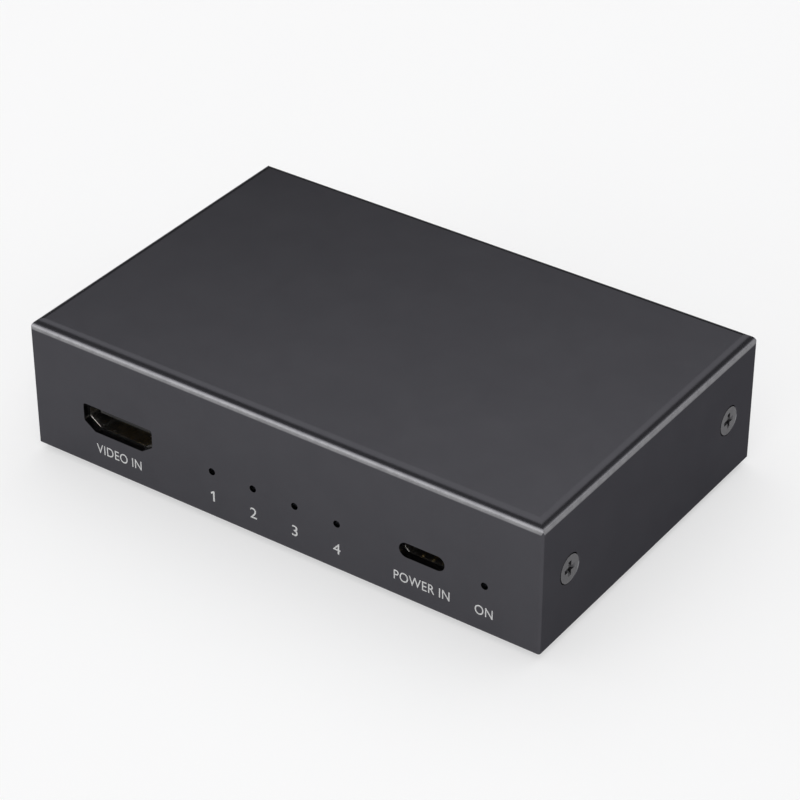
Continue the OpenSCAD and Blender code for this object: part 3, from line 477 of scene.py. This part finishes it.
def printLabel(settings, capital, nodeName, words):
    mesh = oneMesh(settings, capital) if words == "1" else letterMesh(settings, words)
    kind = "number" if words.isdigit() else "word"
    size = settings[kind + "Height"] / capital
    low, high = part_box(nodeName)
    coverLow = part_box("top_cover")[0]
    spot = Vector(((low.x + high.x) / 2, coverLow.y - settings["inkDepth"] / 2,
                   coverLow.z + settings["baseline"]))
    upright = Matrix.Rotation(math.radians(90), 4, "X")
    stretch = Matrix.Diagonal((size * settings[kind + "Squeeze"], size, settings["inkDepth"], 1))
    mesh.transform(Matrix.Translation(spot) @ upright @ stretch)
    mesh.materials.clear()
    mesh.materials.append(labelInk)
    piece = bpy.data.objects.new("label_" + nodeName, mesh)
    scene.collection.objects.link(piece)
    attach(piece, "root")


capital = max(v.co.y for v in letterMesh(labelSettings, "H").vertices)
for nodeName, words in labelSettings["words"].items():
    printLabel(labelSettings, capital, nodeName, words)
print("labels printed:", len(labelSettings["words"]))


# pale floor
floorSettings = {
    "size": 12.0,
    "drop": 0.02 * mm,  # below the feet, so that no two faces share a plane
    "colour": (0.94, 0.94, 0.945),
    "tint": (0.955, 0.955, 0.96),
    "toneScale": 6.0,
    "roughness": 0.9,
    "gloss": 0.1,
    "whiteShare": 0.5,  # of plain white that the camera and reflections see mixed in
}


def makeFloor(settings):
    bpy.ops.mesh.primitive_plane_add(size=settings["size"], location=(0, 0, -settings["drop"]))
    floor = bpy.context.object
    floor.name = "studioFloor"
    material, tree, shader = newFinish("floorPaper")
    tone = useGroup(tree, softMarks, scale=settings["toneScale"], low=0.0, high=1.0)
    tree.links.new(mixColour(tree, tone["Value"], settings["colour"], settings["tint"]), shader.inputs["Base Color"])
    shader.inputs["Roughness"].default_value = settings["roughness"]
    shader.inputs["Specular IOR Level"].default_value = settings["gloss"]
    path = addNode(tree, "ShaderNodeLightPath").outputs
    seen = mathNode(tree, "MAXIMUM", path["Is Camera Ray"], path["Is Glossy Ray"])
    seen = mathNode(tree, "MAXIMUM", seen, path["Is Transmission Ray"])
    share = mathNode(tree, "MULTIPLY", seen, settings["whiteShare"])
    white = addNode(tree, "ShaderNodeEmission", {"Color": (1, 1, 1, 1), "Strength": 1.0}).outputs[0]
    mixed = addNode(tree, "ShaderNodeMixShader", {0: share, 1: shader.outputs[0], 2: white}).outputs[0]
    tree.links.new(mixed, tree.nodes["Material Output"].inputs["Surface"])
    floor.data.materials.append(material)


makeFloor(floorSettings)


# soft boxes round the object: places, sizes and distances in metres, power in watts
lampSettings = {
    "frontLeftBox": {"place": directionTo(-18, 11) * 1.2, "faces": Vector((0, 0, 0)),
                     "width": 1.1, "height": 0.6, "power": 4.6},
    "rearRightBox": {"place": directionTo(134, 4) * 1.2, "faces": Vector((0, 0, 0)),
                     "width": 0.8, "height": 0.25, "power": 0.95},
    "overheadPanel": {"place": Vector((-0.28, 0.84, 1.2)), "faces": Vector((-0.28, 0.84, 0)),
                      "turn": 40.6, "width": 2.27, "height": 2.25, "power": 14.8},
    "cameraSideBox": {"place": directionTo(28, 46) * 1.5, "faces": Vector((0, 0, 0)),
                      "width": 1.0, "height": 1.0, "power": 6.1},
}


def makeLamp(name, settings):
    data = bpy.data.lights.new(name, "AREA")
    data.shape = "RECTANGLE"
    data.size = settings["width"]
    data.size_y = settings["height"]
    data.energy = settings["power"]
    lamp = bpy.data.objects.new(name, data)
    lamp.location = settings["place"]
    lookAt(lamp, settings["faces"])
    lamp.rotation_euler.z += math.radians(settings.get("turn", 0))
    scene.collection.objects.link(lamp)


for lampName, settings in lampSettings.items():
    makeLamp(lampName, settings)

# room light, dim overhead, with pale walls to the right and left
roomSettings = {
    "stops": ((0.0, 0.33), (0.3, 0.28), (0.6, 0.25), (1.0, 0.28)),
    "blueTint": 1.01,
    "strength": 1.0,
    "walls": ((80, 0.5, 0.75), (-80, 0.6, 0.85)),  # azimuth, and where each begins and is full
    "wallLevel": 0.62,
    "wallFade": (0.45, 0.62),  # height at which the walls begin to fade and where they end
}


def makeRoom(settings):
    world = bpy.data.worlds.new("studioRoom")
    world.use_nodes = True
    tree = world.node_tree
    direction = addNode(tree, "ShaderNodeTexCoord").outputs["Generated"]
    height = addNode(tree, "ShaderNodeSeparateXYZ", {0: direction}).outputs["Z"]
    ramp = addNode(tree, "ShaderNodeValToRGB", {"Fac": height})
    stops = ramp.color_ramp.elements
    while len(stops) < len(settings["stops"]):
        stops.new(0.5)
    for stop, (position, level) in zip(stops, settings["stops"]):
        stop.position = position
        stop.color = (level, level, level * settings["blueTint"], 1)
    across = 0.0
    for azimuth, begin, full in settings["walls"]:
        towards = {0: direction, 1: directionTo(azimuth, 0)}
        side = addNode(tree, "ShaderNodeVectorMath", towards, operation="DOT_PRODUCT").outputs["Value"]
        across = mathNode(tree, "ADD", across, mapRange(tree, side, begin, full, 0, settings["wallLevel"]))
    pale = mathNode(tree, "MULTIPLY", across, mapRange(tree, height, *settings["wallFade"], 1, 0))
    lit = addNode(tree, "ShaderNodeVectorMath", {0: ramp.outputs["Color"], 1: pale}, operation="ADD").outputs[0]
    background = tree.nodes["Background"]
    tree.links.new(lit, background.inputs["Color"])
    background.inputs["Strength"].default_value = settings["strength"]
    scene.world = world


makeRoom(roomSettings)
print("floor, lamps and room ready")
